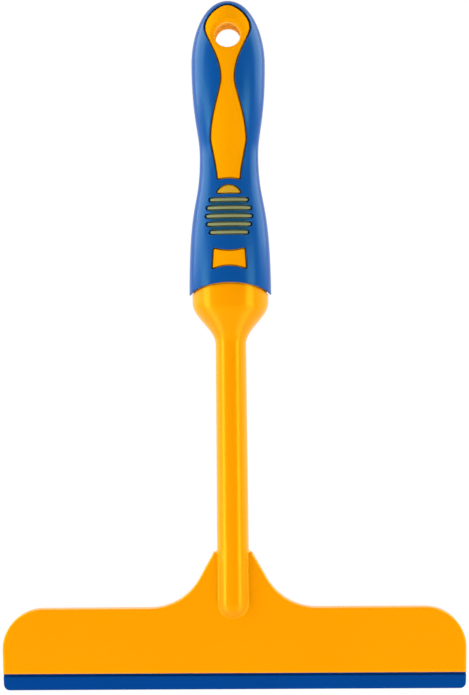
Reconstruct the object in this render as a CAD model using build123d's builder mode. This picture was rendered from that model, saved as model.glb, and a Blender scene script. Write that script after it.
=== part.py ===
from build123d import *
import os
from math import cos, pi

# A hand squeegee for windows and tiles, in millimetres.
# The origin is the centre of the hang hole. +Z runs up to the handle's end, X lies along the
# blade, and the front of the tool faces -Y. A "drop" is a distance below the hang hole.

# Outline of the grip, seen from the front. A "hold" is the share of a stretch over which the
# curve keeps the direction it starts or ends with.
tip_rise = 16.2
tip_hold = 0.69
shoulder_drop = 11.3
shoulder_width = 31.8
shoulder_hold_above = 0.42
shoulder_hold_below = 0.60
waist_drop = 50.3
waist_width = 25.3
waist_hold_above = 0.23
waist_hold_below = 0.38
skirt_drop = 114.7
skirt_width = 35.4
skirt_depth = 27.6
skirt_hold = 0.75
arch_drop = 105.7
arch_rise = 7.8
arch_overhang = 0.6

# Walls of the handle
grip_wall = 2.2
grip_clearance = 0.1
skirt_clearance = 0.3
pad_recess = 0.6
pad_clearance = 0.6
pad_corner_round = 0.3
window_round = 0.3
skirt_edge_round = 0.3

# Hang hole
hole_diameter = 11.0
hole_rim_round = 1.5

# Vase-shaped panel around the hang hole
panel_top_rise = 13.4
panel_top_hold = 0.38
lobe_rise = 3.6
lobe_width = 18.7
lobe_hold_above = 0.48
lobe_hold_below = 0.21
throat_drop = 18.6
throat_width = 5.1
throat_hold_above = 0.44
throat_hold_below = 0.19
belly_drop = 44.6
belly_width = 14.6
belly_hold_above = 0.42
belly_hold_below = 0.07
foot_drop = 61.4
foot_width = 9.2
foot_hold = 0.24
foot_arch = 0.5

# Small pads below the panel: a dome, thin ribs and a bow-tie
dome_drop = 67.5
dome_width = 10.0
dome_height = 3.1
rib_count = 5
rib_height = 1.1
rib_pitch = 3.5
rib_middle_drop = 77.5
rib_length = 19.2
rib_barrel_radius = 15.0
bow_drop = 91.5
bow_height = 8.2
bow_top_width = 12.9
bow_bottom_width = 14.0
bow_top_dip = 1.0
bow_bottom_arch = 1.5

# Plug joint between the handle core and the head
seam_drop = 102.5
socket_width = 22.4
socket_depth = 15.2
socket_length = 20.0
socket_clearance = 0.15
spigot_wall = 2.2
barb_height = 1.0
barb_width = 7.0
barb_length = 4.0
barb_rise = 6.0

# Hollow left by the core pin above the socket
pin_root_width = 18.0
pin_root_depth = 12.0
pin_end_width = 10.4
pin_end_depth = 7.2
pin_end_drop = 22.0

# Collar, neck and shaft of the head
collar_inset = 1.3
collar_step = 0.7
collar_gap = 0.7
collar_end_drop = 114.1
neck_length = 18.0
neck_steps = 8
shaft_top_diameter = 13.2
shaft_end_diameter = 13.8
shaft_end_drop = 243.5

# Web and bar of the head
web_top_drop = 221.8
web_top_width = 16.6
web_foot_width = 43.4
web_round = 24.7
bar_top_drop = 245.8
bar_length = 200.0
bar_height = 28.0
bar_side_draft = 0.2
bar_thickness = 6.0
bar_corner_round = 17.2
bar_edge_round = 1.0
shaft_root_round = 1.5

# Rubber blade and its slot
blade_thickness = 2.6
blade_edge_thickness = 1.2
blade_reach = 7.3
blade_corner_round = 2.6
bead_diameter = 3.9
bead_height = 8.0
slot_clearance = 0.12
slot_end_wall = 2.5
slot_end_clearance = 0.3
lip_gap = 0.3

# Values worked out from the driving dimensions
depth_ratio = skirt_depth / skirt_width
collar_width = skirt_width - 2 * collar_inset
collar_hidden_width = collar_width - 2 * collar_step
bar_bottom = -(bar_top_drop + bar_height)
bar_half = bar_length / 2
bead_level = bar_bottom + bead_height
blade_half = bar_half - bar_side_draft
bar_top_half = bar_half + bar_side_draft * bar_corner_round / (bar_height - bar_corner_round)
lip_axis_level = bar_bottom - lip_gap - blade_thickness / 2
socket_top = socket_length - seam_drop
neck_end = -collar_end_drop - neck_length
shaft_taper = (shaft_end_diameter - shaft_top_diameter) / 2 / (shaft_end_drop + neck_end)
through_all = 2 * skirt_width
front_plane = Plane.XZ.offset(through_all / 2)


def upright_curve(start, end, start_hold, end_hold):
    """A smooth side line between two points, upright at both of them."""
    run = end[1] - start[1]
    return Bezier(start, (start[0], start[1] + start_hold * run), (end[0], end[1] - end_hold * run), end)


def crown_curve(top, side, top_hold, side_hold):
    """A smooth end line from a level top on the middle line to an upright side."""
    rise = top[1] - side[1]
    return Bezier(top, (top_hold * side[0], top[1]), (side[0], side[1] + side_hold * rise), side)


def turned_handle(inset):
    """The handle's outer form drawn in by inset, turned round before it is flattened."""
    tip = (0, tip_rise - inset)
    shoulder = (shoulder_width / 2 - inset, -shoulder_drop)
    waist = (waist_width / 2 - inset, -waist_drop)
    skirt_end = (skirt_width / 2 - inset, -skirt_drop)
    with BuildPart() as form:
        with BuildSketch(Plane.XZ):
            with BuildLine():
                crown_curve(tip, shoulder, tip_hold, shoulder_hold_above)
                upright_curve(shoulder, waist, shoulder_hold_below, waist_hold_above)
                upright_curve(waist, skirt_end, waist_hold_below, skirt_hold)
                Polyline(skirt_end, (0, skirt_end[1]), tip)
            make_face()
        revolve(axis=Axis.Z)
    return form.part


def arch_space(gap):
    """The space below the grip's arched lower edge, less a gap, seen from the front."""
    with BuildSketch(front_plane) as space:
        with Locations((0, -arch_drop - arch_rise)):
            Ellipse(skirt_width / 2 + arch_overhang - gap, arch_rise - gap)
            Rectangle(through_all, through_all, align=(Align.CENTER, Align.MAX))
    return space.sketch


# Pads of the core that show through the grip, seen from the front
with BuildSketch(front_plane) as pads:
    with BuildLine():
        panel_top = (0, panel_top_rise)
        lobe = (lobe_width / 2, lobe_rise)
        throat = (throat_width / 2, -throat_drop)
        belly = (belly_width / 2, -belly_drop)
        foot = (foot_width / 2, -foot_drop)
        crown_curve(panel_top, lobe, panel_top_hold, lobe_hold_above)
        upright_curve(lobe, throat, lobe_hold_below, throat_hold_above)
        upright_curve(throat, belly, throat_hold_below, belly_hold_above)
        upright_curve(belly, foot, belly_hold_below, foot_hold)
        mirror(about=Plane.YZ)
        ThreePointArc((-foot[0], foot[1]), (0, foot[1] + foot_arch), foot)
    make_face()
    fillet(pads.vertices().group_by(Axis.Y)[0], pad_corner_round)
    with BuildLine():
        dome = ThreePointArc(
            (-dome_width / 2, -dome_drop),
            (0, dome_height - dome_drop),
            (dome_width / 2, -dome_drop),
        )
        Line(dome @ 0, dome @ 1)
    make_face()
    fillet(pads.vertices().group_by(Axis.Y)[0], pad_corner_round)
    for rib in range(rib_count):
        rib_offset = rib_pitch * (rib - (rib_count - 1) / 2)
        with Locations((0, rib_offset - rib_middle_drop)):
            SlotOverall(rib_length - rib_offset**2 / rib_barrel_radius, rib_height)
    with BuildLine():
        bow_top = ThreePointArc(
            (-bow_top_width / 2, -bow_drop),
            (0, -bow_drop - bow_top_dip),
            (bow_top_width / 2, -bow_drop),
        )
        bow_bottom = ThreePointArc(
            (-bow_bottom_width / 2, -bow_drop - bow_height),
            (0, -bow_drop - bow_height + bow_bottom_arch),
            (bow_bottom_width / 2, -bow_drop - bow_height),
        )
        Line(bow_top @ 0, bow_bottom @ 0)
        Line(bow_top @ 1, bow_bottom @ 1)
    make_face()
    fillet(pads.vertices(Select.LAST), pad_corner_round)

# Windows in the grip, wider than the pads all round
with BuildSketch(front_plane) as windows:
    add(pads.sketch_local)
    offset(amount=pad_clearance)

# Handle core: hard moulding with raised pads, hang hole, core pin hollow and socket
with BuildPart() as handle_core:
    extrude(pads.sketch, amount=-through_all)
    add(turned_handle(pad_recess), mode=Mode.INTERSECT)
    add(turned_handle(grip_wall))
    split(bisect_by=Plane.XY.offset(-seam_drop), keep=Keep.TOP)
    scale(by=(1, depth_ratio, 1), about=(0, 0, 0))
    with BuildSketch(front_plane):
        Circle(hole_diameter / 2)
    extrude(amount=-through_all, mode=Mode.SUBTRACT)
    rims = handle_core.edges(Select.LAST).filter_by(GeomType.LINE, reverse=True)
    fillet(rims, hole_rim_round)
    with BuildSketch(Plane.XY.offset(socket_top)):
        Ellipse(pin_root_width / 2, pin_root_depth / 2)
    with BuildSketch(Plane.XY.offset(-pin_end_drop)):
        Ellipse(pin_end_width / 2, pin_end_depth / 2)
    loft(mode=Mode.SUBTRACT)
    with BuildSketch(Plane.XY.offset(-seam_drop)):
        Ellipse(socket_width / 2, socket_depth / 2)
    extrude(amount=socket_length, mode=Mode.SUBTRACT)
    with Locations((0, 0, barb_rise + barb_length / 2 - seam_drop)):
        Box(
            socket_width + 2 * barb_height,
            barb_width + 2 * socket_clearance,
            barb_length + 2 * socket_clearance,
            mode=Mode.SUBTRACT,
        )
handle_core.part.label = "handle_core"

# Grip sleeve: soft skin over the core, with a window for each pad and an arched skirt
with BuildPart() as grip_sleeve:
    add(turned_handle(0))
    extrude(windows.sketch, amount=-through_all, mode=Mode.SUBTRACT)
    window_walls = grip_sleeve.faces(Select.LAST).filter_by(GeomType.REVOLUTION, reverse=True)
    fillet(window_walls.edges().filter_by(Axis.Y, reverse=True), window_round)
    extrude(arch_space(0), amount=-through_all, mode=Mode.SUBTRACT)
    fillet(grip_sleeve.edges(Select.LAST), skirt_edge_round)
    add(turned_handle(grip_wall - grip_clearance), mode=Mode.SUBTRACT)
    with BuildSketch(Plane.XY.offset(-seam_drop)):
        Circle(collar_hidden_width / 2 + skirt_clearance)
    extrude(amount=-through_all, mode=Mode.SUBTRACT)
    scale(by=(1, depth_ratio, 1), about=(0, 0, 0))
grip_sleeve.part.label = "grip_sleeve"


def neck_size(step):
    """Width, depth and level of the neck at a step down from the collar, eased at both ends."""
    share = (1 + cos(pi * step / neck_steps)) / 2
    collar_extra = collar_width - shaft_top_diameter
    depth_extra = depth_ratio * collar_width - shaft_top_diameter
    level = -collar_end_drop - neck_length * step / neck_steps
    return shaft_top_diameter + share * collar_extra, shaft_top_diameter + share * depth_extra, level


# Collar below the grip, following its arched edge at a small gap
with BuildPart() as collar:
    extrude(arch_space(collar_gap), amount=-through_all)
    with BuildSketch(Plane.XY.offset(-collar_end_drop)):
        Ellipse(collar_width / 2, depth_ratio * collar_width / 2)
    extrude(amount=collar_end_drop - seam_drop, mode=Mode.INTERSECT)

# Head frame: bar, web, ball-ended shaft, neck, collar and spigot in one hard moulding
with BuildPart() as head_frame:
    with BuildSketch(Plane.XZ):
        with BuildLine():
            FilletPolyline(
                (0, -web_top_drop),
                (web_top_width / 2, -web_top_drop),
                (web_foot_width / 2, -bar_top_drop),
                (bar_top_half, -bar_top_drop),
                (blade_half, bar_bottom),
                (0, bar_bottom),
                radius=[0, web_round, bar_corner_round, 0],
            )
            mirror(about=Plane.YZ)
        make_face()
    extrude(amount=bar_thickness / 2, both=True)
    fillet(head_frame.faces().filter_by(Axis.Y).edges(), bar_edge_round)
    with BuildSketch(Plane.XZ):
        with BuildLine():
            shaft_side = Line(
                (shaft_top_diameter / 2, neck_end),
                (shaft_end_diameter / 2, -shaft_end_drop),
            )
            nose_tip = (0, -shaft_end_drop - (1 + shaft_taper) * shaft_end_diameter / 2)
            TangentArc(shaft_side @ 1, nose_tip, tangent=shaft_side % 1)
            Polyline(nose_tip, (0, neck_end), shaft_side @ 0)
        make_face()
    revolve(axis=Axis.Z)
    shaft_roots = head_frame.faces().filter_by(Axis.Y).edges().filter_by(GeomType.BSPLINE)
    fillet(shaft_roots, shaft_root_round)
    for step in range(neck_steps + 1):
        neck_width, neck_depth, neck_level = neck_size(step)
        with BuildSketch(Plane.XY.offset(neck_level)):
            Ellipse(neck_width / 2, neck_depth / 2)
    loft()
    add(collar.part)
    with BuildSketch(Plane.XY.offset(-collar_end_drop)):
        Ellipse(collar_hidden_width / 2, depth_ratio * collar_hidden_width / 2)
    extrude(amount=collar_end_drop - seam_drop)
    with BuildSketch(Plane.XY.offset(-seam_drop)):
        Ellipse(socket_width / 2 - socket_clearance, socket_depth / 2 - socket_clearance)
    extrude(amount=socket_length - socket_clearance)
    with BuildSketch(Plane.XZ):
        with BuildLine():
            barb_root = socket_width / 2 - socket_clearance - spigot_wall / 2
            barb_tip = socket_width / 2 - socket_clearance + barb_height
            Polyline(
                (barb_root, barb_rise - seam_drop),
                (barb_tip, barb_rise - seam_drop),
                (barb_root, barb_rise + barb_length - seam_drop),
                close=True,
            )
            mirror(about=Plane.YZ)
        make_face()
    extrude(amount=barb_width / 2, both=True)
    with BuildSketch(Plane.XY.offset(-collar_end_drop)):
        Ellipse(
            socket_width / 2 - socket_clearance - spigot_wall,
            socket_depth / 2 - socket_clearance - spigot_wall,
        )
    extrude(amount=collar_end_drop + socket_top, mode=Mode.SUBTRACT)
    with BuildSketch(Plane.YZ.offset(slot_end_wall - blade_half)):
        with Locations((0, bead_level)):
            Circle(bead_diameter / 2 + slot_clearance)
        with Locations((0, bead_level - bead_height / 2)):
            Rectangle(blade_thickness + 2 * slot_clearance, bead_height)
    extrude(amount=bar_length, mode=Mode.SUBTRACT)
head_frame.part.label = "head_frame"

# Blade root: bead and tongue of the rubber strip, held in the bar's slot
root_start = slot_end_wall + slot_end_clearance - blade_half
with BuildPart() as blade_root:
    with BuildSketch(Plane.YZ.offset(root_start)):
        with Locations((0, bead_level)):
            Circle(bead_diameter / 2)
        with Locations((0, bead_level - bead_height / 2)):
            Rectangle(blade_thickness, bead_height)
    extrude(amount=blade_half - root_start)
blade_root.part.label = "blade_root"

# Blade lip: the exposed strip, round at its top where it bends and thin at its wiping edge
with BuildPart() as blade_lip:
    with BuildSketch(Plane.YZ):
        with BuildLine():
            lip_top = CenterArc((0, lip_axis_level), blade_thickness / 2, 0, 180)
            Polyline(
                lip_top @ 1,
                (-blade_edge_thickness / 2, bar_bottom - blade_reach),
                (blade_edge_thickness / 2, bar_bottom - blade_reach),
                lip_top @ 0,
            )
        make_face()
    extrude(amount=blade_half, both=True)
    lip_corners = blade_lip.edges().filter_by(Axis.Y).group_by(Axis.Z)[0]
    fillet(lip_corners, blade_corner_round)
blade_lip.part.label = "blade_lip"

os.makedirs("parts", exist_ok=True)
for piece in (handle_core, grip_sleeve, head_frame, blade_root, blade_lip):
    export_step(piece.part, "parts/" + piece.part.label + ".step")
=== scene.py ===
from math import acos, cos, pi, radians, sin, sqrt

import bpy
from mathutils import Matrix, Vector


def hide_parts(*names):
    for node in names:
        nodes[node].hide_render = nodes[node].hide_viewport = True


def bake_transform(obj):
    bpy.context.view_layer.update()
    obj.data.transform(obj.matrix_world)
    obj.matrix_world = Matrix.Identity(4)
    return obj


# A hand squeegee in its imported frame, in metres: the origin is the hang hole, +Z runs up to the
# handle's end, X lies along the blade and the front faces -Y.
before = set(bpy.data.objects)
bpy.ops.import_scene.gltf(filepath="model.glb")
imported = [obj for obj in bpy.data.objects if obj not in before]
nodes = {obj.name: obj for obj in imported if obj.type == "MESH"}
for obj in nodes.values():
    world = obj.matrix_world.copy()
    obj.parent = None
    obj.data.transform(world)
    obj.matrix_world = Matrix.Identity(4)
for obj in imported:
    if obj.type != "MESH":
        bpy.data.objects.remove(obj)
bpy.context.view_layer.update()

# Sizes of the rubber strip, as the solids have them
BAR_BOTTOM = -0.2738
BLADE_TIP = -0.2811
BLADE_HALF = 0.0998
ROOT_START = -0.0970
HALF_THICK = 0.0013
HALF_EDGE = 0.0006
HALF_NECK = 0.0005
NECK_FOOT = -0.2749
SHOULDER_ROUND = 0.0004
EDGE_ROUND = 0.00015
NECK_STEP = 0.00002
ROW_STEP = 0.0002
BEAD_RADIUS = 0.00195
BEAD_LEVEL = -0.2658
FLEX_LEVEL = -0.2754
CORNER_ROUND = 0.0026
TONGUE_LEVELS = (-0.2700, -0.2720, -0.2732, BAR_BOTTOM)
BEAD_STEPS = 12
SHOULDER_STEPS = 6
EDGE_STEPS = 4
CORNER_STEPS = 16
LENGTH_STEPS = 40
SHARP_ANGLE = radians(40)

# Colours, linear; each moulding drifts between the two of its pair
CORE_YELLOWS = ((0.962, 0.362, 0.0005, 1), (0.954, 0.356, 0.0004, 1))
HEAD_YELLOWS = ((0.940, 0.312, 0.0004, 1), (0.932, 0.306, 0.0003, 1))
GRIP_BLUES = ((0.0003, 0.064, 0.285, 1), (0.0004, 0.067, 0.295, 1))
BLADE_BLUES = ((0.0003, 0.049, 0.250, 1), (0.0004, 0.052, 0.260, 1))
YELLOW_SHINE = (1.0, 0.90, 0.02, 1)
BLUE_SHINE = (0.30, 0.95, 1.0, 1)
DOME_YELLOW = (0.66, 0.37, 0.025, 1)
RIB_YELLOW = (0.28, 0.30, 0.14, 1)
# Painted light: the paler colour of the hole's wall stands in for light shining through the plastic
HOLE_PAINTED_LIGHT = (0.97, 0.58, 0.10, 1)
# Painted shade: the darker colour of the rubber in the grooves between the bars
GRIP_PAINTED_SHADE = (0.003, 0.048, 0.12, 1)
FLOOR_PALE = (0.86, 0.86, 0.855, 1)
FLOOR_WHITE = (0.87, 0.87, 0.87, 1)
WHITE = (1, 1, 1, 1)

# Gloss of the mouldings: the span of their roughness and the strength of their reflection
HEAD_ROUGH = (0.20, 0.26)
CORE_ROUGH = (0.36, 0.42)
GRIP_ROUGH = (0.20, 0.26)
BLADE_ROUGH = (0.38, 0.46)
HEAD_SPECULAR = 0.55
CORE_SPECULAR = 0.0
GRIP_SPECULAR = 0.24
BLADE_SPECULAR = 0.05

# Noise patterns of colour and gloss: repeats per metre, detail, and the middle of their values
DRIFT_SCALE = 35.0
DRIFT_DETAIL = 3.0
GLOSS_SCALE = 90.0
GLOSS_DETAIL = 4.0
PLAIN_DETAIL = 2.0
NOISE_SPAN = (0.3, 0.7)

# Grain, as repeats per metre and depth in metres, and the ridge of the parting line
PLASTIC_GRAIN = (700.0, 0.000006)
GRIP_GRAIN = (2600.0, 0.000005)
BLADE_GRAIN = (1600.0, 0.000006)
PARTING_WIDTH = 0.00022
PARTING_HEIGHT = 0.00003

# Levels of the toned zones of the handle, and how far they reach and fade
RIB_ZONE = (-0.0855, -0.0695)
DOME_ZONE = (-0.0680, -0.0640)
PAD_REACH = 0.012
PAD_FADE = 0.0004
# Zone of the painted shade on the rubber between the bars
SHADE_ZONE = (-0.0838, -0.0712)
SHADE_REACH = 0.0075
SHADE_FADE = 0.0012
HOLE_REACH = 0.00555
HOLE_FADE = 0.0002
ACROSS_HOLE = (1, 0, 1)

# Camera, fitted to the photo
CAMERA_DISTANCE = 0.680
CAMERA_SIDE = 0.00156
CAMERA_LEVEL = -0.1335
CAMERA_TURN = radians(1.3)
CAMERA_ROLL = radians(0.57)
PICTURE_HEIGHT = 0.3004
SENSOR_WIDTH = 36.0

# Floor: place, radius and the span in which it fades, in metres, and its surface
FLOOR_PLACE = (0, 0.22, -0.42)
FLOOR_RADIUS = 0.42
FLOOR_SIDES = 96
FLOOR_FADE = (0.15, 0.40)
FLOOR_CLOUDS = 6.0
FLOOR_ROUGH = 0.9
FLOOR_SPECULAR = 0.1

# Room: its light, as a share of white, rises as a direction's Y goes from the front to the back
ROOM_SPAN = (-0.45, 0.35)
ROOM_LIGHT = (0.04, 1.0)

# Soft lights, all turned to the middle of the tool: name, place, width, height and watts
MIDDLE = (0, 0, -0.13)
SOFTBOXES = (
    ("left_box", (-0.97, -0.52, -0.20), 0.40, 0.5, 4.0),
    ("right_box", (0.84, -0.70, -0.20), 0.40, 0.5, 4.0),
    ("left_low", (-0.73, -0.38, -0.68), 0.36, 0.8, 3.0),
    ("right_low", (0.68, -0.45, -0.70), 0.36, 0.8, 3.0),
    ("left_side", (-1.10, 0.05, 0.45), 1.05, 1.0, 15.0),
    ("right_side", (1.06, 0.22, 0.48), 0.95, 1.0, 11.0),
    ("left_key", (-1.00, -1.00, 1.20), 0.80, 0.6, 5.6),
    ("right_key", (1.00, -1.00, 1.20), 0.80, 0.6, 5.6),
    ("low_fill", (0.00, -1.00, -0.95), 2.00, 0.9, 5.6),
)

# Sockets of a Mix node that mixes colours, which it tells apart by number only
MIX_COLOURS = (6, 7)
MIX_RESULT = 2


def add_node(tree, kind, inputs=None, **settings):
    """A new node with its settings; an input given as a socket is linked, any other is set."""
    node = tree.nodes.new(kind)
    for key, value in settings.items():
        setattr(node, key, value)
    for key, value in (inputs or {}).items():
        if isinstance(value, bpy.types.NodeSocket):
            tree.links.new(value, node.inputs[key])
        else:
            node.inputs[key].default_value = value
    return node


def noise(tree, place, scale, detail=PLAIN_DETAIL):
    """Values of a noise pattern; scale is in repeats per metre."""
    node = add_node(
        tree, "ShaderNodeTexNoise", {"Vector": place, "Scale": scale, "Detail": detail}
    )
    return node.outputs["Fac"]


def ramp(tree, value, start, end, low, high, smooth=False):
    """Value carried from start..end to low..high and held at both ends."""
    node = add_node(
        tree,
        "ShaderNodeMapRange",
        {"Value": value, "From Min": start, "From Max": end, "To Min": low, "To Max": high},
        interpolation_type="SMOOTHSTEP" if smooth else "LINEAR",
    )
    return node.outputs["Result"]


def mixed(tree, factor, first, second):
    """Colour between first and second."""
    node = add_node(tree, "ShaderNodeMix", data_type="RGBA")
    tree.links.new(factor, node.inputs["Factor"])
    for socket, value in zip(MIX_COLOURS, (first, second)):
        if isinstance(value, bpy.types.NodeSocket):
            tree.links.new(value, node.inputs[socket])
        else:
            node.inputs[socket].default_value = value
    return node.outputs[MIX_RESULT]


def maths(tree, operation, first, second=0.0):
    """Result of one sum on two values."""
    node = add_node(tree, "ShaderNodeMath", {0: first, 1: second}, operation=operation)
    return node.outputs["Value"]


def moulded(name, colours, shine, rough, specular, grain, parting=True):
    """A moulded plastic or rubber: faint colour drift, uneven gloss, fine grain, a parting line."""
    material = bpy.data.materials.new(name)
    material.use_nodes = True
    tree = material.node_tree
    shader = tree.nodes["Principled BSDF"]
    shader.inputs["Specular IOR Level"].default_value = specular
    shader.inputs["Specular Tint"].default_value = shine
    place = add_node(tree, "ShaderNodeTexCoord").outputs["Object"]
    drift = ramp(tree, noise(tree, place, DRIFT_SCALE, DRIFT_DETAIL), *NOISE_SPAN, 0.0, 1.0)
    tree.links.new(mixed(tree, drift, *colours), shader.inputs["Base Color"])
    gloss = ramp(tree, noise(tree, place, GLOSS_SCALE, GLOSS_DETAIL), *NOISE_SPAN, *rough)
    tree.links.new(gloss, shader.inputs["Roughness"])
    grain_scale, grain_depth = grain
    height = maths(tree, "MULTIPLY", noise(tree, place, grain_scale), grain_depth)
    if parting:
        depth = add_node(tree, "ShaderNodeSeparateXYZ", {"Vector": place}).outputs["Y"]
        across = maths(tree, "ABSOLUTE", depth)
        ridge = ramp(tree, across, 0.0, PARTING_WIDTH, PARTING_HEIGHT, 0.0, True)
        height = maths(tree, "ADD", height, ridge)
    bump = add_node(tree, "ShaderNodeBump", {"Height": height, "Distance": 1.0})
    tree.links.new(bump.outputs["Normal"], shader.inputs["Normal"])
    return material


def dress(piece, material):
    """Gives a piece one material in place of its own."""
    piece.data.materials.clear()
    piece.data.materials.append(material)


plastic = moulded(
    "yellow_plastic", HEAD_YELLOWS, YELLOW_SHINE, HEAD_ROUGH, HEAD_SPECULAR, PLASTIC_GRAIN
)
core_plastic = moulded(
    "yellow_core", CORE_YELLOWS, YELLOW_SHINE, CORE_ROUGH, CORE_SPECULAR, PLASTIC_GRAIN,
    parting=False,
)
grip_rubber = moulded(
    "blue_grip", GRIP_BLUES, BLUE_SHINE, GRIP_ROUGH, GRIP_SPECULAR, GRIP_GRAIN
)
blade_rubber = moulded(
    "blue_blade", BLADE_BLUES, BLUE_SHINE, BLADE_ROUGH, BLADE_SPECULAR, BLADE_GRAIN,
    parting=False,
)


def recolour(material, inside, colour):
    """Carries a material to another colour where the value inside is 1."""
    tree = material.node_tree
    base = tree.nodes["Principled BSDF"].inputs["Base Color"]
    tree.links.new(mixed(tree, inside, base.links[0].from_socket, colour), base)


def toned(material, colour, zone, reach, fade):
    """Carries a material to another colour between two levels of Z and within a reach of X = 0."""
    tree = material.node_tree
    low, high = zone
    place = add_node(tree, "ShaderNodeTexCoord").outputs["Object"]
    axes = add_node(tree, "ShaderNodeSeparateXYZ", {"Vector": place})
    across = maths(tree, "ABSOLUTE", axes.outputs["X"])
    near = ramp(tree, across, reach, reach + fade, 1.0, 0.0)
    above = ramp(tree, axes.outputs["Z"], low - fade, low, 0.0, 1.0)
    below = ramp(tree, axes.outputs["Z"], high, high + fade, 1.0, 0.0)
    recolour(material, maths(tree, "MULTIPLY", near, maths(tree, "MULTIPLY", above, below)), colour)


def paint_hole_light(material, colour):
    """Carries a material to another colour on the wall of the hang hole, round the Y axis; here
    that is painted light.
    """
    tree = material.node_tree
    place = add_node(tree, "ShaderNodeTexCoord").outputs["Object"]
    flat = add_node(tree, "ShaderNodeVectorMath", {0: place, 1: ACROSS_HOLE}, operation="MULTIPLY")
    reach = add_node(
        tree, "ShaderNodeVectorMath", {0: flat.outputs["Vector"]}, operation="LENGTH"
    ).outputs["Value"]
    recolour(material, ramp(tree, reach, HOLE_REACH, HOLE_REACH + HOLE_FADE, 1.0, 0.0), colour)


# The thin bars and the dome of the core look duller than the large pads; the wall of the hole has
# painted light, a paler colour for light shining through the plastic,
# # and the rubber between the bars has painted shade, darker than the rest of the grip
toned(core_plastic, RIB_YELLOW, RIB_ZONE, PAD_REACH, PAD_FADE)
toned(core_plastic, DOME_YELLOW, DOME_ZONE, PAD_REACH, PAD_FADE)
paint_hole_light(core_plastic, HOLE_PAINTED_LIGHT)
toned(grip_rubber, GRIP_PAINTED_SHADE, SHADE_ZONE, SHADE_REACH, SHADE_FADE)

dress(nodes["handle_core"], core_plastic)
dress(nodes["head_frame"], plastic)
dress(nodes["grip_sleeve"], grip_rubber)


def strip_rows():
    """Half-width, level and which end of the strip each row of its side lies on, top to bottom."""
    rows = []
    bead_foot = acos(HALF_THICK / BEAD_RADIUS)
    for step in range(BEAD_STEPS + 1):
        turn = pi / 2 - (pi / 2 + bead_foot) * step / BEAD_STEPS
        rows.append((BEAD_RADIUS * cos(turn), BEAD_LEVEL + BEAD_RADIUS * sin(turn), ROOT_START))
    for level in TONGUE_LEVELS:
        rows.append((HALF_THICK, level, ROOT_START))
    rows.append((HALF_NECK, BAR_BOTTOM - NECK_STEP, -BLADE_HALF))
    rows.append((HALF_NECK, NECK_FOOT, -BLADE_HALF))
    for step in range(SHOULDER_STEPS + 1):
        turn = pi / 2 * step / SHOULDER_STEPS
        half = HALF_THICK - SHOULDER_ROUND * (1 - sin(turn))
        rows.append((half, NECK_FOOT - SHOULDER_ROUND * (1 - cos(turn)), -BLADE_HALF))
    level = rows[-1][1] - ROW_STEP
    while level > BLADE_TIP + EDGE_ROUND:
        share = max(0.0, (FLEX_LEVEL - level) / (FLEX_LEVEL - BLADE_TIP))
        rows.append((HALF_THICK + share * (HALF_EDGE - HALF_THICK), level, -BLADE_HALF))
        level -= ROW_STEP
    for step in range(EDGE_STEPS + 1):
        turn = pi / 2 * step / EDGE_STEPS
        half = HALF_EDGE - EDGE_ROUND * (1 - cos(turn))
        rows.append((half, BLADE_TIP + EDGE_ROUND * (1 - sin(turn)), -BLADE_HALF))
    return rows


def strip_stations():
    """Shares along the strip, close together at its rounded ends."""
    corner = CORNER_ROUND / BLADE_HALF
    half = [corner * (1 - cos(pi * step / CORNER_STEPS)) / 2 for step in range(CORNER_STEPS + 1)]
    half += [corner + (1 - corner) * step / LENGTH_STEPS for step in range(1, LENGTH_STEPS + 1)]
    return [-1 + share for share in half] + [1 - share for share in reversed(half[:-1])]


def rubber_strip():
    """The strip in one piece: bead and tongue in the bar's slot, and the lip below it."""
    rows = strip_rows()
    stations = strip_stations()
    loop = rows + [(-half, level, start) for half, level, start in reversed(rows[1:])]
    points = []
    for share in stations:
        from_end = (1 - abs(share)) * BLADE_HALF
        rise = 0.0
        if from_end < CORNER_ROUND:
            rise = CORNER_ROUND - sqrt(CORNER_ROUND**2 - (CORNER_ROUND - from_end) ** 2)
        for half, level, start in loop:
            middle = (BLADE_HALF + start) / 2
            along = middle + share * (BLADE_HALF - middle)
            shown = max(0.0, (FLEX_LEVEL - level) / (FLEX_LEVEL - BLADE_TIP))
            points.append((along, half, level + rise * shown))
    count = len(loop)
    faces = []
    for station in range(len(stations) - 1):
        first, second = station * count, (station + 1) * count
        for step in range(count):
            after = (step + 1) % count
            faces.append((first + step, second + step, second + after, first + after))
    faces.append(tuple(range(count)))
    faces.append(tuple(range((len(stations) - 1) * count, len(stations) * count))[::-1])
    mesh = bpy.data.meshes.new("rubber_strip")
    mesh.from_pydata(points, [], faces)
    mesh.validate()
    strip = bpy.data.objects.new("rubber_strip", mesh)
    bpy.context.scene.collection.objects.link(strip)
    return strip


strip = rubber_strip()
dress(strip, blade_rubber)
# All faces but the two ends have four corners
for face in strip.data.polygons:
    face.use_smooth = len(face.vertices) == 4
strip.data.set_sharp_from_angle(angle=SHARP_ANGLE)
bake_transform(strip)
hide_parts("blade_root", "blade_lip")


def pale_floor():
    """A round pale floor well below the hanging tool, fading out at its rim."""
    bpy.ops.mesh.primitive_circle_add(
        vertices=FLOOR_SIDES, radius=FLOOR_RADIUS, fill_type="NGON", location=FLOOR_PLACE
    )
    floor = bpy.context.object
    floor.name = "floor"
    material = bpy.data.materials.new("pale_floor")
    material.use_nodes = True
    tree = material.node_tree
    shader = tree.nodes["Principled BSDF"]
    shader.inputs["Roughness"].default_value = FLOOR_ROUGH
    shader.inputs["Specular IOR Level"].default_value = FLOOR_SPECULAR
    place = add_node(tree, "ShaderNodeTexCoord").outputs["Object"]
    tint = ramp(tree, noise(tree, place, FLOOR_CLOUDS), *NOISE_SPAN, 0.0, 1.0)
    tree.links.new(mixed(tree, tint, FLOOR_PALE, FLOOR_WHITE), shader.inputs["Base Color"])
    reach = add_node(tree, "ShaderNodeVectorMath", {0: place}, operation="LENGTH").outputs["Value"]
    tree.links.new(ramp(tree, reach, *FLOOR_FADE, 1.0, 0.0, True), shader.inputs["Alpha"])
    floor.data.materials.append(material)


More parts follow.
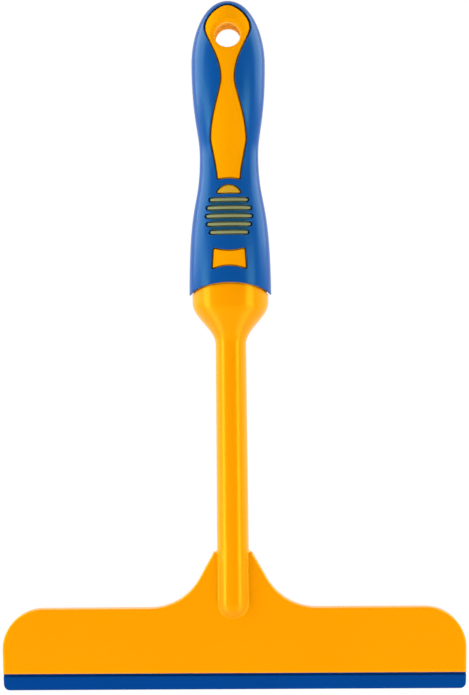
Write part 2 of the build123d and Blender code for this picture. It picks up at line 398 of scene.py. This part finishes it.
def white_studio():
    """A room that looks white all round, while its light dims from the back to the front."""
    world = bpy.data.worlds.new("studio")
    world.use_nodes = True
    bpy.context.scene.world = world
    tree = world.node_tree
    background = tree.nodes["Background"]
    place = add_node(tree, "ShaderNodeTexCoord").outputs["Generated"]
    along = add_node(tree, "ShaderNodeSeparateXYZ", {"Vector": place}).outputs["Y"]
    room = ramp(tree, along, *ROOM_SPAN, *ROOM_LIGHT, True)
    rays = add_node(tree, "ShaderNodeLightPath").outputs
    mirrored = maths(tree, "MAXIMUM", rays["Is Glossy Ray"], rays["Is Transmission Ray"])
    seen = maths(tree, "MAXIMUM", rays["Is Camera Ray"], mirrored)
    strength = add_node(
        tree, "ShaderNodeMix", {"Factor": seen, "A": room, "B": 1.0}, data_type="FLOAT"
    )
    tree.links.new(strength.outputs["Result"], background.inputs["Strength"])
    background.inputs["Color"].default_value = WHITE


def softbox(name, place, width, height, watts):
    """A rectangular soft light, turned to the tool, that the camera doesn't see."""
    data = bpy.data.lights.new(name, "AREA")
    data.shape = "RECTANGLE"
    data.size = width
    data.size_y = height
    data.energy = watts
    lamp = bpy.data.objects.new(name, data)
    lamp.location = place
    bpy.context.scene.collection.objects.link(lamp)
    towards = Vector(MIDDLE) - Vector(place)
    lamp.rotation_euler = towards.to_track_quat("-Z", "Y").to_euler()
    lamp.visible_camera = False


def camera():
    """The photo's view: level, almost straight on, with the tool leaning slightly to the left."""
    data = bpy.data.cameras.new("camera")
    data.sensor_width = SENSOR_WIDTH
    data.lens = SENSOR_WIDTH * CAMERA_DISTANCE / PICTURE_HEIGHT
    view = bpy.data.objects.new("camera", data)
    side = CAMERA_SIDE + CAMERA_DISTANCE * sin(CAMERA_TURN)
    view.location = (side, -CAMERA_DISTANCE * cos(CAMERA_TURN), CAMERA_LEVEL)
    view.rotation_euler = (pi / 2, CAMERA_ROLL, CAMERA_TURN)
    bpy.context.scene.collection.objects.link(view)
    bpy.context.scene.camera = view


pale_floor()
white_studio()
for box in SOFTBOXES:
    softbox(*box)
camera()
bpy.context.scene.view_settings.view_transform = "Standard"
